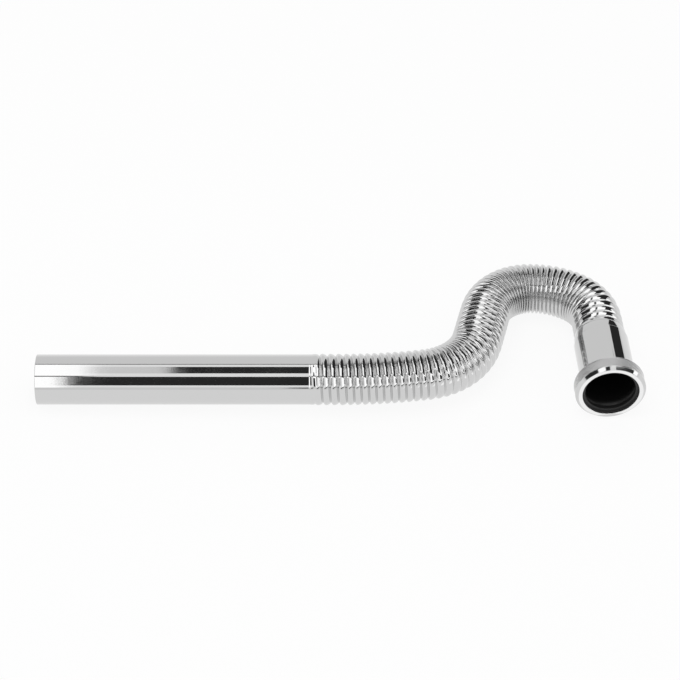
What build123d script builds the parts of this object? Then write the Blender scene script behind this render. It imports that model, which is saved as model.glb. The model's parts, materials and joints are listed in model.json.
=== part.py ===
"""Flexible P-trap pipe lying on its side.

A plated tube has a plain outlet end and a bellows of round folds, bent by hand into the trap. A threaded
collar, brazed on its inlet end and plated with it, carries a slip nut whose rubber washer grips the tailpiece
of a basin waste. Sizes are in millimetres. The pieces are drawn in the flat plane of the pipe's centre line
and are then laid down as they come to rest.
"""

import os
from math import acos, ceil, degrees

from build123d import *

# Outlet tube
tube_diameter = 32.0
tube_wall = 0.8
tube_length = 176.0

# Bellows: round folds for the real spiral's many turns, drawn apart near the tube, closer round the bends
crest_diameter = 33.0
fold_depth = 1.7
fold_wall = 1.25
open_folds = 8
open_length = 76.5
close_folds = 22
taper_length = 2.9

# Bends of the centre line, in order from the outlet; turns are in degrees
bellows_run = 16.4
ease_radius = 340.0
ease_turn = 9.4
first_radius = 40.8
first_turn = 67.1
leg_length = 27.3
left_radius = 31.2
left_turn = 74.6
back_radius = 49.3
back_turn = 38.5
right_radius = 29.8
right_turn = 49.9
bellows_tail = 11.0

# The bore runs round the bends in straight lengths, which stray this far from the centre line
bore_stray = 1.0

# Inlet neck, which runs on through the collar brazed round it; the collar flares out to its thread
neck_diameter = 33.8
neck_wall = 0.5
neck_length = 10.0
collar_diameter = 35.2
collar_length = 40.4
flare_length = 1.2

# Thread of the collar and the nut, as plain cylinders near its pitch diameter
thread_diameter = 40.4
thread_length = 5.5
thread_clearance = 0.3

# Slip nut, and the washer under its lip
nut_diameter = 45.0
nut_height = 10.4
nut_hole_diameter = 36.1
nut_lip = 2.2
nut_chamfer = 1.9
washer_bore_diameter = 32.2
washer_thickness = 3.0
washer_clearance = 0.3
lip_clearance = 0.2

# Radii that follow from the sizes above
tube_radius = tube_diameter / 2
crest_radius = crest_diameter / 2
root_radius = crest_radius - fold_depth
neck_radius = neck_diameter / 2
collar_radius = collar_diameter / 2
thread_radius = thread_diameter / 2
thread_bore_radius = thread_radius + thread_clearance
nut_radius = nut_diameter / 2
nut_hole_radius = nut_hole_diameter / 2
washer_bore_radius = washer_bore_diameter / 2
washer_radius = thread_bore_radius - washer_clearance

# Centre line, from the open end of the outlet to the mouth of the nut
collar_face = nut_lip + lip_clearance + washer_thickness
tail_length = bellows_tail + neck_length + collar_length + collar_face
with BuildLine() as route:
    outlet = Line((0, 0), (tube_length, 0))
    run = Line(outlet @ 1, outlet @ 1 + outlet % 1 * bellows_run)
    ease = JernArc(run @ 1, run % 1, ease_radius, ease_turn)
    first_bend = JernArc(ease @ 1, ease % 1, first_radius, first_turn)
    leg = Line(first_bend @ 1, first_bend @ 1 + first_bend % 1 * leg_length)
    left_bend = JernArc(leg @ 1, leg % 1, left_radius, -left_turn)
    back_bend = JernArc(left_bend @ 1, left_bend % 1, back_radius, -back_turn)
    right_bend = JernArc(back_bend @ 1, back_bend % 1, right_radius, -right_turn)
    tail = Line(right_bend @ 1, right_bend @ 1 + right_bend % 1 * tail_length)

centre_line = route.wire()
up = Vector(0, 0, 1)


def square_to(path, distance):
    """Plane square to a path, at a distance along it."""
    here = path.position_at(distance, PositionMode.LENGTH)
    along = path.tangent_at(distance, PositionMode.LENGTH)
    return Plane(origin=here, x_dir=up, z_dir=along)


# Stations along the centre line, measured from the open end of the outlet
folds_start = tube_length + taper_length
close_start = folds_start + open_length
neck_start = centre_line.length - tail_length + bellows_tail
folds_end = neck_start - taper_length
collar_start = neck_start + neck_length
pipe_end = collar_start + collar_length
thread_start = pipe_end - thread_length


def folds(start, end, count):
    """Round sections of a stretch of folds: each starts at a root and rises to its crest halfway."""
    pitch = (end - start) / count
    for fold in range(count):
        yield start + fold * pitch, root_radius
        yield start + (fold + 0.5) * pitch, crest_radius


outer_sections = [
    (0, tube_radius),
    (tube_length, tube_radius),
    *folds(folds_start, close_start, open_folds),
    *folds(close_start, folds_end, close_folds),
    (folds_end, root_radius),
    (neck_start, neck_radius),
    (collar_start, neck_radius),
    (collar_start + collar_radius - neck_radius, collar_radius),
    (thread_start - flare_length, collar_radius),
    (thread_start, thread_radius),
    (pipe_end, thread_radius),
]

# The pipe: one ruled skin through its round sections, bored through from end to end
with BuildPart() as trap_pipe:
    for station, radius in outer_sections:
        with BuildSketch(square_to(centre_line, station)):
            Circle(radius)
    loft(ruled=True)
    for stretch in (run, ease, first_bend, leg, left_bend, back_bend, right_bend, tail):
        lengths = 1
        if stretch.geom_type == GeomType.CIRCLE:
            turn = degrees(stretch.length / stretch.radius)
            lengths = ceil(turn / degrees(2 * acos(1 - bore_stray / stretch.radius)))
        for length in range(lengths):
            with BuildSketch(square_to(stretch, stretch.length * length / lengths)):
                Circle(root_radius - fold_wall)
    with BuildSketch(square_to(centre_line, neck_start)):
        Circle(root_radius - fold_wall)
    loft(ruled=True, mode=Mode.SUBTRACT)
    with BuildSketch(square_to(centre_line, 0)):
        Circle(tube_radius - tube_wall)
    extrude(amount=tube_length, mode=Mode.SUBTRACT)
    with BuildSketch(square_to(centre_line, neck_start)):
        Circle(neck_radius - neck_wall)
    extrude(amount=pipe_end - neck_start, mode=Mode.SUBTRACT)

# Section plane of the nut and the washer: depth runs back from the mouth of the nut, then radius
mouth = tail @ 1
inward = (tail % 1) * -1
tail_axis = Axis(mouth, inward)
tail_section = Plane(origin=mouth, x_dir=inward, z_dir=inward.cross(up))

# Slip nut: a lip over the washer, and a threaded skirt with a round rim behind it
with BuildPart() as slip_nut:
    with BuildSketch(tail_section):
        with BuildLine():
            Polyline(
                (0, nut_hole_radius),
                (0, nut_radius),
                (nut_height, nut_radius),
                (nut_height, thread_bore_radius),
                (nut_lip, thread_bore_radius),
                (nut_lip, nut_hole_radius),
                close=True,
            )
        make_face()
    revolve(axis=tail_axis)
    rims = edges().filter_by(GeomType.CIRCLE).group_by(SortBy.RADIUS)[-1]
    chamfer(rims.sort_by(tail_axis)[0], nut_chamfer)

# Flat rubber washer, between the nut's lip and the collar's face
with BuildPart() as sealing_washer:
    with BuildSketch(tail_section):
        with BuildLine():
            Polyline(
                (collar_face - washer_thickness, washer_bore_radius),
                (collar_face - washer_thickness, washer_radius),
                (collar_face, washer_radius),
                (collar_face, washer_bore_radius),
                close=True,
            )
        make_face()
    revolve(axis=tail_axis)

# Rest: the outlet's open end, the back of the trap and the nut's rear rim touch the ground
nut_rest = mouth + inward * nut_height
back_rest = back_bend.arc_center + Vector(0, back_radius)
nut_rise = nut_radius - tube_radius
back_rise = crest_radius - tube_radius
spread = nut_rest.X * back_rest.Y - nut_rest.Y * back_rest.X
slope_x = (nut_rise * back_rest.Y - back_rise * nut_rest.Y) / spread
slope_y = (back_rise * nut_rest.X - nut_rise * back_rest.X) / spread
leaning = Plane(origin=(0, 0, 0), x_dir=(1, 0, slope_x), z_dir=(-slope_x, -slope_y, 1)).location

pieces = {"trap_pipe": trap_pipe, "slip_nut": slip_nut, "sealing_washer": sealing_washer}
extent = Compound([piece.part.moved(leaning) for piece in pieces.values()]).bounding_box()
resting = Location((-extent.center().X, -extent.center().Y, -extent.min.Z)) * leaning

os.makedirs("parts", exist_ok=True)
for name, piece in pieces.items():
    piece.part.label = name
    piece.part.locate(resting)
    export_step(piece.part, f"parts/{name}.step")
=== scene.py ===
# %% [markdown]
# # A flexible trap pipe under studio light
#
# The object is a chromed waste pipe: a plain outlet tube, a bellows bent by hand into a trap, and a
# collar with a slip nut and a rubber washer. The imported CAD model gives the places, the bodies and the
# joint, and this lesson puts finer surfaces and finishes round it. Everything is in metres, in the CAD
# model's own frame.

# %% Load the frame
import json

import bpy
import numpy as np
from mathutils import Matrix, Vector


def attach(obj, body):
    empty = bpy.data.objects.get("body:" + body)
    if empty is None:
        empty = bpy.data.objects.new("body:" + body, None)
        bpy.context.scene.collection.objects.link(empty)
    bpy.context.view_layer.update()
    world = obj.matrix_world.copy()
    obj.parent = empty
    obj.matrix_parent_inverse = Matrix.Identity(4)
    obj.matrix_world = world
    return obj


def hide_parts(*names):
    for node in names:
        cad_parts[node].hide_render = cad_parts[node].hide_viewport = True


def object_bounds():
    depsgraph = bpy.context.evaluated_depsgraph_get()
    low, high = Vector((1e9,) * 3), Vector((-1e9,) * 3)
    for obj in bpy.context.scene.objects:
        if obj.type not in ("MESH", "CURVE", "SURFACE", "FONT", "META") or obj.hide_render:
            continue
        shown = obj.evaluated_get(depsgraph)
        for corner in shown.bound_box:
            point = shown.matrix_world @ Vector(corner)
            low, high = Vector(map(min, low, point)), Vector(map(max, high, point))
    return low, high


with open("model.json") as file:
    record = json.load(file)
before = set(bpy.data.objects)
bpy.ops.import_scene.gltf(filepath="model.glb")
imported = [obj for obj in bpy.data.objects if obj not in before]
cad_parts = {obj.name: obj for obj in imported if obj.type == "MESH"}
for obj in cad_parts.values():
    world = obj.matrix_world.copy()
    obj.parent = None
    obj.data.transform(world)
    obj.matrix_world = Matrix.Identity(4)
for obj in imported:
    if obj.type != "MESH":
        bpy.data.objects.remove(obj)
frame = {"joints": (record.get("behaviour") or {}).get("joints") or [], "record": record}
cad_low, cad_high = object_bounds()
MM = 0.001
print("CAD box in mm:", [round((high - low) / MM, 1) for low, high in zip(cad_low, cad_high)])

# %% [markdown]
# ## The flat plane of the pipe
#
# The pipe is bent in one plane, which leans a little because the nut is thicker than the tube. That
# plane could be typed in as angles, but the record already holds it: the outlet's axis lies in it, and
# so does the nut's. Their cross product is the plane's normal, so a new rest position moves every piece
# with it.

# %% Directions taken from the record
outlet = next(mount for mount in frame["record"]["mounts"] if mount["name"] == "outlet")
nut_turn = next(joint for joint in frame["joints"] if joint["name"] == "nut_turn")


def unit(vector):
    """A vector divided by its own length."""
    vector = np.asarray(vector, float)
    return vector / np.linalg.norm(vector)


tube_radius = outlet["dims"]["r_mm"] * MM
tube_length = outlet["dims"]["length_mm"] * MM
along = -unit(outlet["axis"])
outward = unit(nut_turn["axis"])
square = unit(np.cross(outward, along))
away = np.cross(square, along)
tube_end = np.array(outlet["pos_m"]) - along * tube_length / 2
mouth = np.array(nut_turn["pos_m"])


def placed(flat):
    """Points (x, y, z) of the pipe's plane in the frame: tube end + x * along + y * away + z * square."""
    return tube_end + np.asarray(flat, float) @ np.stack([along, away, square])


print("lean of the plane in degrees:", round(float(np.degrees(np.arccos(square[2]))), 2))

# %% [markdown]
# ## The camera
#
# The photograph looks down on the pipe at about 45 degrees through a long lens. The camera is placed in
# the pipe's plane too: its right is the tube's direction, it looks at the middle of the outline, and
# its distance and its lens together give the outline's width in the picture.

# %% Place the camera
look_at = placed([192.4 * MM, 36.44 * MM, 0])
eye_distance = 1600 * MM
eye_rise = np.radians(43.5)
half_picture_px = 340
focal_px = 2476

toward_eye = np.sin(eye_rise) * square - np.cos(eye_rise) * away
eye = look_at + eye_distance * toward_eye
camera_axes = np.eye(4)
camera_axes[:3] = np.stack([along, np.cross(toward_eye, along), toward_eye, eye], axis=1)
camera = bpy.data.objects.new("camera", bpy.data.cameras.new("camera"))
bpy.context.scene.collection.objects.link(camera)
camera.matrix_world = Matrix(camera_axes.tolist())
camera.data.angle = 2 * np.arctan(half_picture_px / focal_px)
camera.data.clip_end = 100
bpy.context.scene.camera = camera
print("camera at", np.round(eye, 3), "lens angle", round(float(np.degrees(camera.data.angle)), 2))

# %% [markdown]
# ## Surfaces from grids
#
# Every piece here is round, so each one is a grid: rows run along a profile, columns run round the
# axis. The grid's points come as one array, and the faces are worked out from row and column numbers
# alone. A profile that comes back to its start closes the grid both ways, so the piece is a sealed skin
# with real wall thickness.


# %% From a grid of points to a mesh
def grid_object(name, points, finishes, finish_of_row=None, closed=True):
    """A grid as a mesh: face (i, j) joins rows i and i + 1 and columns j and j + 1, counted round if closed.

    Its UV map holds the length along the profile, in metres, and the share of a turn.
    """
    rows, columns = points.shape[:2]
    open_edge = 0 if closed else 1
    i, j = np.indices((rows - open_edge, columns - open_edge)).reshape(2, -1)
    below, beside = (i + 1) % rows, (j + 1) % columns
    here, next_row = i * columns, below * columns
    faces = np.stack([here + j, here + beside, next_row + beside, next_row + j], 1)
    mesh = bpy.data.meshes.new(name)
    mesh.from_pydata(points.reshape(-1, 3), [], faces, shade_flat=False)
    for finish in finishes:
        mesh.materials.append(finish)
    if finish_of_row is not None:
        mesh.polygons.foreach_set("material_index", np.asarray(finish_of_row, np.int32)[i])
    steps = np.linalg.norm(np.diff(points[:, 0], axis=0, append=points[:1, 0]), axis=1)
    run = np.concatenate([[0], np.cumsum(steps)])
    lengths = np.stack([run[i], run[i], run[i + 1], run[i + 1]], 1)
    turns = np.stack([j, j + 1, j + 1, j], 1) / columns
    layer = mesh.uv_layers.new(name="along_and_round")
    layer.data.foreach_set("uv", np.stack([lengths, turns], 2).astype(np.float32).ravel())
    piece = bpy.data.objects.new(name, mesh)
    bpy.context.scene.collection.objects.link(piece)
    print(name, "has", rows, "rows,", columns, "columns and", 2 * len(faces), "triangles")
    return piece


def round_turn(columns):
    """Angles of the columns, evenly round one turn."""
    return np.arange(columns) * 2 * np.pi / columns


print("four columns stand at", np.degrees(round_turn(4)), "degrees")

# %% [markdown]
# ## Finishes
#
# One function adds a node, sets its values and links its inputs. Colours are written as the hex values
# that a paint program shows, and one function turns them into the linear light that Blender works in.


# %% Helpers for finishes
def linear(hex_colour):
    """An sRGB hex colour as linear light: c / 12.92 when dark, otherwise ((c + 0.055) / 1.055) ** 2.4."""
    code = hex_colour.lstrip("#")
    parts = np.array([int(code[k:k + 2], 16) for k in (0, 2, 4)]) / 255
    light = np.where(parts <= 0.04045, parts / 12.92, ((parts + 0.055) / 1.055) ** 2.4)
    return (*light.tolist(), 1.0)


def add_node(tree, kind, inputs=None, **settings):
    """One node of a kind, with its settings, and with each input linked to a socket or set to a value."""
    node = tree.nodes.new(kind)
    for key, value in settings.items():
        setattr(node, key, value)
    for key, value in (inputs or {}).items():
        if isinstance(value, bpy.types.NodeSocket):
            tree.links.new(value, node.inputs[key])
        else:
            node.inputs[key].default_value = value
    return node


def new_finish(name):
    """An empty node material, with its tree and its Principled shader."""
    finish = bpy.data.materials.new(name)
    finish.use_nodes = True
    return finish, finish.node_tree, finish.node_tree.nodes["Principled BSDF"]


print("white in linear light:", linear("#FFFFFF")[:3])

# %% [markdown]
# ### Chrome plate, electroplated on polished brass
#
# Chrome mirrors the room with hardly any colour of its own. A perfect mirror looks drawn, though: a
# real tube was drawn and buffed, so its reflections waver a little along its length, and the plate
# carries a faint haze of hairlines. The waver is a low bump about 18 mm long, the hairlines are about
# 0.4 mm apart and run round the tube, and both are too slight to see except in the edges of
# reflections.


# %% Polished chrome
def polished_chrome(name, hex_colour, haze, waver_mm, hairline_mm):
    """Mirror metal with an uneven haze, and a shallow bump of long waves and hairlines."""
    smear_size, wave_size, hairline_gap = 25 * MM, 18 * MM, 0.4 * MM
    finish, tree, shader = new_finish(name)
    place = add_node(tree, "ShaderNodeTexCoord").outputs["Object"]
    smears = add_node(tree, "ShaderNodeTexNoise", {"Vector": place, "Scale": 1 / smear_size, "Detail": 4.0})
    hazes = add_node(tree, "ShaderNodeMapRange", {
        "Value": smears.outputs["Fac"], "From Min": 0.3, "From Max": 0.7,
        "To Min": haze[0], "To Max": haze[1]})
    waves = add_node(tree, "ShaderNodeTexNoise", {"Vector": place, "Scale": 1 / wave_size, "Detail": 1.0})
    waver = add_node(tree, "ShaderNodeBump", {"Height": waves.outputs["Fac"], "Distance": waver_mm * MM})
    surface = add_node(tree, "ShaderNodeUVMap", uv_map="along_and_round")
    run = add_node(tree, "ShaderNodeSeparateXYZ", {"Vector": surface.outputs["UV"]})
    hairlines = add_node(tree, "ShaderNodeTexNoise", {"W": run.outputs["X"], "Scale": 1 / hairline_gap},
                         noise_dimensions="1D")
    buffing = add_node(tree, "ShaderNodeBump", {
        "Height": hairlines.outputs["Fac"], "Distance": hairline_mm * MM, "Normal": waver.outputs["Normal"]})
    tree.links.new(hazes.outputs["Result"], shader.inputs["Roughness"])
    tree.links.new(buffing.outputs["Normal"], shader.inputs["Normal"])
    shader.inputs["Base Color"].default_value = linear(hex_colour)
    shader.inputs["Metallic"].default_value = 1.0
    return finish


tube_chrome = polished_chrome("chrome_plate_buffed", "#CFCFCF", haze=(0.02, 0.06),
                              waver_mm=0.012, hairline_mm=0.0004)
nut_chrome = polished_chrome("chrome_plate_turned", "#CFCFCF", haze=(0.04, 0.10),
                             waver_mm=0.006, hairline_mm=0.0010)
print("chrome finishes:", tube_chrome.name, nut_chrome.name)

# %% [markdown]
# ### The inside of the tube and the rubber washer
#
# Plating hardly reaches inside a tube, so its wall is dull metal; its near-black colour is painted shade
# for the dark deep in the bore, smooth enough that what it mirrors is the dark further in. The washer is
# moulded rubber with carbon black: nearly black, matt, with the fine sandy skin that the mould left, here
# grains of about 0.25 mm.


# %% Bore painted dark as shade, and moulded rubber
def dark_bore_as_shade(name):
    """Dull metal painted near-black as the shade deep in the bore, with stains a few millimetres wide."""
    finish, tree, shader = new_finish(name)
    place = add_node(tree, "ShaderNodeTexCoord").outputs["Object"]
    stain_size = 6 * MM
    stains = add_node(tree, "ShaderNodeTexNoise", {"Vector": place, "Scale": 1 / stain_size, "Detail": 5.0})
    # The two near-black tones are painted shade for the unlit inside of the tube; the stains vary them at
    # random.
    tone = add_node(tree, "ShaderNodeMix", {
        "Factor": stains.outputs["Fac"], "A": linear("#1D1D1D"), "B": linear("#272726")}, data_type="RGBA")
    tree.links.new(tone.outputs["Result"], shader.inputs["Base Color"])
    shader.inputs["Metallic"].default_value = 0.5
    shader.inputs["Roughness"].default_value = 0.4
    return finish


def moulded_rubber(name):
    """Black rubber with a sandy bump and slightly worn, greyer grains."""
    finish, tree, shader = new_finish(name)
    place = add_node(tree, "ShaderNodeTexCoord").outputs["Object"]
    grain_size = 0.25 * MM
    grains = add_node(tree, "ShaderNodeTexNoise", {"Vector": place, "Scale": 1 / grain_size, "Detail": 3.0})
    tone = add_node(tree, "ShaderNodeMix", {
        "Factor": grains.outputs["Fac"], "A": linear("#0B0B0B"), "B": linear("#171717")}, data_type="RGBA")
    bump = add_node(tree, "ShaderNodeBump", {
        "Height": grains.outputs["Fac"], "Strength": 0.5, "Distance": 0.05 * MM})
    tree.links.new(tone.outputs["Result"], shader.inputs["Base Color"])
    tree.links.new(bump.outputs["Normal"], shader.inputs["Normal"])
    shader.inputs["Roughness"].default_value = 0.62
    shader.inputs["IOR"].default_value = 1.52
    return finish


# The bore's finish is dull metal painted near-black as shade.
bore_metal_painted_shade = dark_bore_as_shade("bore_plate_painted_dark_as_shade")
rubber = moulded_rubber("moulded_black_rubber")
print("inside finishes:", bore_metal_painted_shade.name, rubber.name)

# %% [markdown]
# ## The centre line
#
# The pipe follows straight runs and arcs, as a bender would note them: how far, then how much turn at
# what radius. A curve object could carry a bevel along it, but then the folds could not be shaped.
# Instead the line is a function: give it lengths along the pipe and it gives points and headings.

# %% Straight runs and arcs
straight_runs = {"outlet": tube_length + 16.4 * MM, "leg": 27.3 * MM, "tail": 66.8 * MM}
arcs = {"ease": (340.0, 9.4), "first": (40.8, 67.1), "left": (31.2, -74.6), "back": (49.3, -38.5),
        "right": (29.8, -49.9)}
order = ("outlet", "ease", "first", "leg", "left", "back", "right", "tail")


def stretch(name):
    """Length and turn, in radians, of a stretch: an arc's length is its radius times its turn."""
    if name in straight_runs:
        return straight_runs[name], 0.0
    radius, turn = arcs[name]
    return radius * MM * abs(np.radians(turn)), np.radians(turn)


def route(s):
    """Points, headings and curvatures at lengths s, in the pipe's plane.

    Each stretch adds a chord: straight, or (sin(h + k u) - sin h, cos h - cos(h + k u)) / k on an arc of
    curvature k entered at heading h, where u is how much of the stretch lies before s.
    """
    points, headings, bends = np.zeros((len(s), 2)), np.zeros(len(s)), np.zeros(len(s))
    start, heading = 0.0, 0.0
    for name in order:
        length, turn = stretch(name)
        u = np.clip(s - start, 0, length)
        if turn == 0:
            points += u[:, None] * [np.cos(heading), np.sin(heading)]
        else:
            k = turn / length
            points += np.stack([np.sin(heading + k * u) - np.sin(heading),
                                np.cos(heading) - np.cos(heading + k * u)], 1) / k
            bends += np.where((s > start) & (s <= start + length), k, 0)
        headings += turn * u / length
        start, heading = start + length, heading + turn
    return points, headings, bends


whole_length = sum(stretch(name)[0] for name in order)
line_end = placed(np.append(route(np.array([whole_length]))[0][0], 0))
print("line is", round(whole_length / MM, 2), "mm long")
print("it ends", round(np.linalg.norm(line_end - mouth) / MM, 3), "mm from the nut's mouth")

# %% [markdown]
# ## The pipe: tube, bellows and neck
#
# The bellows was rolled from the same tube by a wheel that ran round it: one groove winds along the
# pipe like a screw's, and each of its turns is a fold. Rings would be simpler, but in the photograph
# the crests on the top of the pipe and under it are half a fold apart. So the height of the skin
# follows the turns of the groove up to a place, less the share of a turn round the pipe. A fold climbs
# fast and falls slowly, as the wheel left it. From the crease on, the tube flares to the crests' radius
# over the run-in, and the groove takes the length of the first groove to reach its full depth.

# %% Sizes of the pipe
crest_radius = 16.42 * MM
fold_depth = 1.7 * MM
tube_wall = 0.8 * MM
lip_round = 0.25 * MM
crease = 172.8 * MM
run_in = 5.6 * MM
first_groove = 10.0 * MM
run_out = 2.5 * MM
bellows_bore_radius = 13.8 * MM
neck_radius = 16.9 * MM
neck_wall = 0.5 * MM
neck_length = 45.2 * MM
collar_face = 5.4 * MM
pipe_end = whole_length - collar_face
neck_start = pipe_end - neck_length

# Places along the line where the spiral's pitch changes, the pitches between them, and the turn it starts at
stations = np.array([196.5, 246.0, 294.0, 312.0, 326.0, 374.0, 414.0]) * MM
pitches = np.array([5.11, 4.54, 4.25, 4.75, 4.2, 3.36, 3.95, 5.0]) * MM
first_turn = -0.12
spiral_lengths = np.concatenate([[crease], stations, [neck_start]])
spiral_turns = first_turn + np.append(0, np.cumsum(np.diff(spiral_lengths) / pitches))


def eased(share):
    """A soft step: 3 t ** 2 - 2 t ** 3, with t held between 0 and 1."""
    t = np.clip(share, 0, 1)
    return t * t * (3 - 2 * t)


def fold_height(phase):
    """Height of a fold, 0 in its groove and 1 on its crest: a skewed sine to a small power."""
    power, least, skew = 0.18, 0.008, 0.12
    skewed = np.pi * (phase + skew * np.sin(np.pi * phase) ** 2)
    lowest, highest = least ** power, (1 + least) ** power
    return ((np.sin(skewed) ** 2 + least) ** power - lowest) / (highest - lowest)


def plain_rows(lengths, radii):
    """Rows without folds: length along the line, radius, and no groove."""
    lengths, radii = np.broadcast_arrays(np.asarray(lengths, float), np.asarray(radii, float))
    return np.stack([lengths, radii, np.zeros(len(lengths))], 1)


def folded_rows(rows_each):
    """Rows of the bellows: length, radius over the crests, and the groove's growth from 0 to 1."""
    lengths = np.interp(np.arange(*spiral_turns[[0, -1]], 1 / rows_each), spiral_turns, spiral_lengths)
    crests = np.interp(lengths, [crease, crease + run_in, neck_start - run_out, neck_start],
                       [tube_radius, crest_radius, crest_radius, neck_radius])
    grown = eased((lengths - crease) / first_groove) * eased((neck_start - lengths) / run_out)
    return np.stack([lengths, crests, grown], 1)


print("turns of the spiral:", round(spiral_turns[-1] - spiral_turns[0], 1))

# %% [markdown]
# The profile goes out along the outer skin, round the inlet end, back along the bore and round the
# outlet's lip. Each row has a length along the centre line, a radius and the groove's growth. Quarter
# circles round the lip, with a close row on either side, so that the flats beside them still mirror as
# flats. A close row before the crease keeps the tube straight up to it.

# %% Rows of the pipe's profile
quarter = np.radians([0, 22.5, 45, 67.5, 90])
bore_radius = tube_radius - tube_wall

outer_rows = np.concatenate([
    plain_rows(lip_round * (1 - np.cos(quarter)), tube_radius - lip_round * (1 - np.sin(quarter))),
    plain_rows(np.append(np.linspace(2 * lip_round, crease - 2 * MM, 24), crease - 0.2 * MM), tube_radius),
    folded_rows(rows_each=28),
    plain_rows(np.linspace(neck_start, pipe_end, 14), neck_radius),
])
inner_rows = np.concatenate([
    plain_rows(np.linspace(pipe_end, neck_start, 10), neck_radius - neck_wall),
    plain_rows(np.linspace(neck_start - 1 * MM, crease, 90), bellows_bore_radius),
    plain_rows(np.linspace(crease - 1 * MM, 2 * lip_round, 20), bore_radius),
    plain_rows(lip_round * (1 - np.sin(quarter)), bore_radius + lip_round * (1 - np.cos(quarter))),
])
profile = np.concatenate([outer_rows, inner_rows])
print("profile rows outside and inside:", len(outer_rows), len(inner_rows))

# %% [markdown]
# Now the profile is carried along the centre line. A point is the centre plus its radius times (cosine
# * left + sine * up), where left is the heading turned by a quarter. Where the pipe is bent, the folds
# on the inside of the bend are squeezed deeper and those outside are pulled shallower, so the groove's
# depth is multiplied by one plus a share of the bend at that point.


# %% Carry the profile along the line
def carried(rows, columns, squeeze=0.3):
    """Round sections along the centre line, with groove depth * (1 + squeeze * curvature * radius * cos)."""
    points, headings, bends = route(rows[:, 0])
    radii, grown = rows[:, 1:2], rows[:, 2:3]
    turn = round_turn(columns)
    phase = np.interp(rows[:, 0], spiral_lengths, spiral_turns)[:, None] - turn / (2 * np.pi)
    depth = grown * fold_depth * (1 + squeeze * bends[:, None] * radii * np.cos(turn))
    reach = radii - depth * (1 - fold_height(phase))
    left = np.stack([-np.sin(headings), np.cos(headings)], 1)
    flat = points[:, None] + (reach * np.cos(turn))[:, :, None] * left[:, None]
    return placed(np.concatenate([flat, (reach * np.sin(turn))[:, :, None]], 2))


row = np.arange(len(profile))
in_the_bore = (row >= len(outer_rows) - 1) & (row < len(profile) - len(quarter))
pipe_points = carried(profile, columns=48)
pipe = grid_object("chromed_pipe", pipe_points, [tube_chrome, bore_metal_painted_shade], in_the_bore)
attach(pipe, "pipe")
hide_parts("trap_pipe")

# %% [markdown]
# ## Turned pieces on the inlet
#
# The collar, the nut and the washer were turned or moulded round the nut's axis, so their grids run
# round it. Their profiles are a few corners, in millimetres back from the nut's mouth and out from its
# axis. A polished edge is never sharp, so each corner is cut back a little and bridged by a curve.


# %% Profiles with rounded corners
def rounded(corners_mm, cuts_mm, fine_rows, steps=5):
    """Rows (depth, radius) of a closed profile, in metres.

    A corner is cut back by its cut towards both neighbours and bridged by the curve
    (1 - t) ** 2 * before + 2 t (1 - t) * corner + t ** 2 * after. Close rows beside it keep the flats
    flat. The stretch after a corner gets as many more rows as fine_rows says.
    """
    close_row = 1.4
    corners = np.array(corners_mm, float)
    t = np.linspace(0, 1, steps)[:, None]
    blocks = []
    for k, (corner, cut) in enumerate(zip(corners, cuts_mm)):
        other = (k + 1) % len(corners)
        back, on = unit(corners[k - 1] - corner), unit(corners[other] - corner)
        before, after = corner + cut * back, corner + cut * on
        bridge = (1 - t) ** 2 * before + 2 * t * (1 - t) * corner + t ** 2 * after
        flat_start = corner + close_row * cut * on
        flat_end = corners[other] - close_row * cuts_mm[other] * on
        share = np.linspace(0, 1, fine_rows.get(k, 0) + 2)[:, None]
        blocks += [bridge, flat_start + share * (flat_end - flat_start)]
    return np.concatenate(blocks) * MM


def turned(rows, radii, columns):
    """Points mouth - depth * outward + radius * (cos(turn) * across + sin(turn) * square)."""
    across = np.cross(square, outward)
    turn = round_turn(columns)
    ring = np.cos(turn)[:, None] * across + np.sin(turn)[:, None] * square
    return mouth - rows[:, 0, None, None] * outward + radii[:, :, None] * ring


square_corners = [(0, 0), (0, 1), (1, 1), (1, 0)]
print("a square with rounded corners takes", len(rounded(square_corners, [0.1] * 4, {})), "rows")

# %% [markdown]
# The thread is a helix: its ridge moves along by one pitch for every turn. So the radius depends on
# depth / pitch + share of a turn, and the collar's thread and the nut's share that one formula. The
# nut's joint advances by the same pitch, so the threads stay in mesh as the nut unscrews.

# %% The thread
thread_pitch = 2.309 * MM
thread_radius = 20.25 * MM
thread_height = 1.2 * MM
thread_gap = 0.2 * MM


def threaded(depths, columns, offset):
    """Radius of the thread: its middle radius plus a zigzag with rounded tips, moved out by an offset."""
    sharpness = 0.96
    phase = depths[:, None] / thread_pitch + round_turn(columns) / (2 * np.pi)
    zigzag = np.arcsin(sharpness * np.sin(2 * np.pi * phase)) / np.arcsin(sharpness)
    return thread_radius + offset + zigzag * thread_height / 2


thread_root, thread_tip = thread_radius - thread_height / 2, thread_radius + thread_height / 2
print("thread runs from", round(thread_root / MM, 2), "to", round(thread_tip / MM, 2), "mm")

# %% [markdown]
# ### The collar
#
# The collar is a thick ring brazed round the neck and plated with it. Its rear edge shows as a thin
# line, it flares at the front, and its thread is hidden by the nut until the nut is unscrewed. A lathe
# chamfers the thread's first turn, so the radius there is the smaller of the thread and a cone.

# %% Make the collar
face_depth = collar_face / MM
collar_bore = neck_radius / MM
collar_radius = 17.6
collar_rear = 45.8
rear_bevel = 0.5
flare_start, flare_end = 12.1, 10.9
blank_radius = 19.9
thread_from, thread_to = 5.52, 10.66
blank_floor = 19.5
cone_radius = 19.4 * MM

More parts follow.
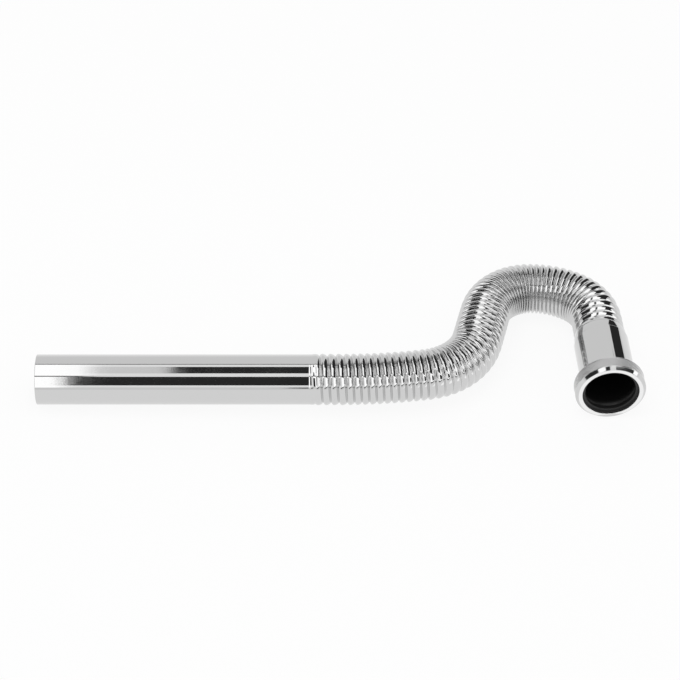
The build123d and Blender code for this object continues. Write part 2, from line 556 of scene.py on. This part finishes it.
collar_corners = [(collar_rear, collar_bore), (collar_rear - rear_bevel, collar_radius),
                  (flare_start, collar_radius), (flare_end, blank_radius),
                  (face_depth, blank_radius), (face_depth, collar_bore)]
collar_rows = rounded(collar_corners, [0.2, 0.3, 0.6, 0.2, 0.1, 0.1], {1: 12, 3: 44})
collar_columns = 144
collar_radii = np.repeat(collar_rows[:, 1:], collar_columns, axis=1)
depth_mm, radius_mm = collar_rows.T / MM
on_thread = (depth_mm > thread_from) & (depth_mm < thread_to) & (radius_mm > blank_floor)
cone = cone_radius + collar_rows[on_thread, :1] - collar_face
collar_radii[on_thread] = np.minimum(threaded(collar_rows[on_thread, 0], collar_columns, 0), cone)
collar = grid_object("threaded_collar", turned(collar_rows, collar_radii, collar_columns), [tube_chrome])
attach(collar, "pipe")

# %% [markdown]
# ### The slip nut
#
# The nut is turned from bar: a wide bright front face, a small chamfer, a fine diamond knurl to grip,
# and a thread behind a lip that holds the washer. Two sets of slanting grooves cross to leave the
# diamonds, so the height of the knurl is the smaller of two zigzags, one leaning each way.

# %% Make the nut
nut_radius = 22.5
nut_height = 10.4
nut_mouth = 20.9
nut_chamfer = 1.9
nut_lip = 2.2
hole_radius = 18.05
washer_room = 20.5
nut_thread_end = (9.3, 20.3)
nut_thread_from = 5.42
nut_thread_radii = (20.2, 20.95)
knurl_start, knurl_end = 2.4 * MM, 9.2 * MM
knurl_depth = 0.35 * MM
knurl_teeth = 112
knurl_columns = 7


def knurled(depths, columns):
    """Groove depths: knurl_depth * (1 - min(|2 frac(teeth + lean) - 1|, |2 frac(teeth - lean) - 1|))."""
    teeth = knurl_teeth * round_turn(columns) / (2 * np.pi)
    lean = depths[:, None] * knurl_teeth / (2 * np.pi * nut_radius * MM)
    ridges = np.minimum(np.abs(2 * ((teeth + lean) % 1) - 1), np.abs(2 * ((teeth - lean) % 1) - 1))
    from_front, from_rear = depths - knurl_start, knurl_end - depths
    fade = np.clip(from_front / knurl_depth, 0, 1) * np.clip(from_rear / knurl_depth, 0, 1)
    return knurl_depth * (1 - ridges) * fade[:, None]


nut_corners = [(nut_height, nut_mouth), (nut_height, nut_radius), (nut_chamfer, nut_radius),
               (0, nut_radius - nut_chamfer), (0, hole_radius), (nut_lip, hole_radius),
               (nut_lip, washer_room), (face_depth, washer_room), nut_thread_end]
nut_rows = rounded(nut_corners, [0.1, 1.0, 0.2, 0.2, 0.3, 0.1, 0.1, 0.05, 0.05], {1: 46, 7: 26})
nut_columns = knurl_teeth * knurl_columns
nut_radii = np.repeat(nut_rows[:, 1:], nut_columns, axis=1)
on_rim = nut_rows[:, 1] > (nut_radius - 0.01) * MM
nut_radii[on_rim] -= knurled(nut_rows[on_rim, 0], nut_columns)
depth_mm, radius_mm = nut_rows.T / MM
in_thread = (depth_mm > nut_thread_from) & (radius_mm > nut_thread_radii[0])
in_thread &= radius_mm < nut_thread_radii[1]
countersink = (nut_mouth - nut_height) * MM + nut_rows[in_thread, :1]
nut_thread = threaded(nut_rows[in_thread, 0], nut_columns, thread_gap)
nut_radii[in_thread] = np.maximum(nut_thread, countersink)
nut = grid_object("knurled_slip_nut", turned(nut_rows, nut_radii, nut_columns), [nut_chrome])
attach(nut, "nut")
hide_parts("slip_nut")

# %% [markdown]
# ### The washer
#
# A flat moulded ring of rubber lies between the nut's lip and the collar. Moulded edges are soft, so
# its corners are rounded more than the metal's.

# %% Make the washer
washer_front = 2.4
washer_bore = 16.1
washer_radius = 20.2
washer_edge = 0.4
washer_corners = [(face_depth, washer_bore), (face_depth, washer_radius),
                  (washer_front, washer_radius), (washer_front, washer_bore)]
washer_rows = rounded(washer_corners, [washer_edge] * 4, {0: 4, 2: 4})
washer_columns = 128
washer_radii = np.repeat(washer_rows[:, 1:], washer_columns, axis=1)
washer = grid_object("rubber_washer", turned(washer_rows, washer_radii, washer_columns), [rubber])
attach(washer, "washer")
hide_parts("sealing_washer")

# %% [markdown]
# ## Floor, world and lamp
#
# The floor and the world are plain and pale. What the camera, the metal and the bore see of them is
# white, as on a photographer's sweep, and what they shed as light stays at a plain level. Light Path
# tells the two apart. The floor keeps a share of plain paint, so the pipe's soft shadow stays on it.


# %% Pale floor and soft light
def seen_directly(tree):
    """A socket that is 1 for rays from the camera, from gloss and through glass, and 0 for others."""
    path = add_node(tree, "ShaderNodeLightPath")
    mirrored = add_node(tree, "ShaderNodeMath", {
        0: path.outputs["Is Glossy Ray"], 1: path.outputs["Is Transmission Ray"]}, operation="MAXIMUM")
    seen = add_node(tree, "ShaderNodeMath", {
        0: path.outputs["Is Camera Ray"], 1: mirrored.outputs["Value"]}, operation="MAXIMUM")
    return seen.outputs["Value"]


def painted_floor(name, glow_share):
    """White paint, of which a share glows for rays that see it directly."""
    finish, tree, shader = new_finish(name)
    paint = add_node(tree, "ShaderNodeBsdfDiffuse", {"Color": linear("#F5F5F5")})
    glow = add_node(tree, "ShaderNodeEmission", {"Color": linear("#FFFFFF"), "Strength": 1.0})
    share = add_node(tree, "ShaderNodeMath", {0: seen_directly(tree), 1: glow_share}, operation="MULTIPLY")
    mixed = add_node(tree, "ShaderNodeMixShader", {
        0: share.outputs["Value"], 1: paint.outputs["BSDF"], 2: glow.outputs["Emission"]})
    tree.links.new(mixed.outputs["Shader"], tree.nodes["Material Output"].inputs["Surface"])
    tree.nodes.remove(shader)
    return finish


floor_half = 4.0
edges = np.linspace(-floor_half, floor_half, 3)
floor_x, floor_y = np.meshgrid(edges, edges, indexing="xy")
floor_points = np.stack([floor_x, floor_y, np.full_like(floor_x, cad_low[2])], 2)
floor_paint = painted_floor("white_painted_floor", glow_share=0.9)
floor = grid_object("floor", floor_points, [floor_paint], closed=False)

world = bpy.data.worlds.new("white_studio")
world.use_nodes = True
bpy.context.scene.world = world
sky_tree = world.node_tree
sky = add_node(sky_tree, "ShaderNodeMix", {
    "Factor": seen_directly(sky_tree), "A": linear("#D9D9D9"), "B": linear("#F0F0F0")}, data_type="RGBA")
sky_tree.links.new(sky.outputs["Result"], sky_tree.nodes["Background"].inputs["Color"])

lamp = bpy.data.objects.new("soft_lamp", bpy.data.lights.new("soft_lamp", "AREA"))
bpy.context.scene.collection.objects.link(lamp)
lamp.data.size = 1.2
lamp.data.energy = 10
lamp.location = look_at + [-0.3, -0.3, 1.7]
lamp.rotation_euler = (np.radians(-10), np.radians(-10), 0)
lamp.visible_glossy = False
print("floor at z =", round(cad_low[2], 5), "and lamp of", lamp.data.energy, "W")

# %% [markdown]
# ## Cards for the chrome to mirror
#
# Chrome has no look of its own, so a photographer builds its look: bright softboxes beside the camera,
# with a dark gap between them where the camera stands, and dark edges all round. The cards are patches
# of a far dome, given by how far they rise from the front horizon over the top and how far they lie to
# the side of the pipe. Photographs of a mirror ball could serve too, but cards with plain edges give
# each line on the tube a cause that can be moved. Only mirror rays see them, so they add no light to
# the floor or the rubber.


# %% Make cards
def glowing(name, tone):
    """A card's finish: one even tone that needs no lamp."""
    finish, tree, shader = new_finish(name)
    glow = add_node(tree, "ShaderNodeEmission", {"Color": linear("#FFFFFF"), "Strength": tone})
    tree.links.new(glow.outputs["Emission"], tree.nodes["Material Output"].inputs["Surface"])
    tree.nodes.remove(shader)
    return finish


def for_mirrors_only(patch):
    """A stage piece that only mirror rays see."""
    for sense in ("camera", "diffuse", "transmission", "volume_scatter", "shadow"):
        setattr(patch, "visible_" + sense, False)


def card(name, finish, rises, sides, centre=look_at, radius=20.0, steps=25):
    """A dome patch: radius * (sin(side) * along + cos(side) * (sin(rise) * square - cos(rise) * away))."""
    rise_steps, side_steps = np.linspace(*rises, steps), np.linspace(*sides, steps)
    rise, side = np.meshgrid(np.radians(rise_steps), np.radians(side_steps), indexing="ij")
    up_and_back = np.sin(rise)[..., None] * square - np.cos(rise)[..., None] * away
    points = centre + radius * (np.sin(side)[..., None] * along + np.cos(side)[..., None] * up_and_back)
    for_mirrors_only(grid_object(name, points, [finish], closed=False))


softbox_cloth = glowing("softbox_cloth", 1.6)
pale_card = glowing("pale_card", 1.1)
black_card = glowing("black_card", 0.03)
print("card finishes:", softbox_cloth.name, pale_card.name, black_card.name)

# %% [markdown]
# A card is written as two ranges in degrees: from where to where it rises, and from where to where it
# lies to the side, with the outlet's side negative. The softboxes leave white on the outlet's end and
# on the crests. Pale cards edge the dark stripes with grey. Two dark cards are the stripes themselves,
# the thin ones draw fine lines beside them, and the wide ones at either side darken the folds of the
# bends and the collar.

# %% Hang the far cards
softboxes = [
    ((7, 57), (-24, -6.85)), ((50, 57), (-89, -24)), ((7, 50), (-89, -58)), ((7, 57), (34, 80)),
    ((61, 104), (-26, -6.2)), ((104, 116), (-20, -6.2)), ((61, 104), (3, 34)), ((61, 104), (62, 80)),
    ((104, 116), (3, 18)), ((104, 116), (56, 80)),
]
pale_cards = [((104, 116), (-6.2, 3)), ((56.5, 72), (-6.2, 3)), ((8, 17), (-6.85, 4)), ((7, 57), (4, 34))]
stripes = [((17, 56.5), (-6.85, 4)), ((72, 104), (-4.2, 3))]
fine_lines = [
    ((2, 7), (-1.2, 66)), ((57, 61), (-89, -6.2)), ((57, 61), (4, 80)), ((116.5, 119.5), (-20, 18)),
]
wide_darks = [
    ((104, 140), (18, 56)), ((140, 171), (23, 50)), ((7, 50), (-58, -24)), ((104, 134), (-65, -20)),
    ((134, 152), (-65, -50)), ((61, 104), (-65, -26)), ((61, 104), (34, 62)),
]
far_cards = {"softbox": (softbox_cloth, softboxes), "pale_card": (pale_card, pale_cards),
             "dark_card": (black_card, stripes + fine_lines + wide_darks)}
for kind, (finish, places) in far_cards.items():
    for number, (rises, sides) in enumerate(places):
        card(f"{kind}_{number}", finish, rises, sides)

# %% [markdown]
# Two small cards are close to the nut, because a far one would change the look of the whole pipe. A
# black flag gives the chamfer its dark piece on the right, and a white card on the floor brightens the
# nut's front face, which mirrors the ground before it.

# %% Set the near cards
card("flag_by_the_nut", black_card, (18, 54), (16, 62), mouth, 130 * MM)

bounce_sides = np.array([-30, 50]) * MM
bounce_fronts = np.array([-100, -6]) * MM
bounce_lift = 0.2 * MM
bounce_x, bounce_y = np.meshgrid(bounce_sides, bounce_fronts)
bounce_z = np.full_like(bounce_x, cad_low[2] - mouth[2] + bounce_lift)
bounce_points = mouth + np.stack([bounce_x, bounce_y, bounce_z], 2)
bounce_white = glowing("bounce_card_white", 1.35)
bounce = grid_object("bounce_card", bounce_points, [bounce_white], closed=False)
for_mirrors_only(bounce)

# %% [markdown]
# ## Finish
#
# The view transform is Standard, so that a colour in the picture is the colour that was written.

# %% Set the view transform
bpy.context.scene.view_settings.view_transform = "Standard"
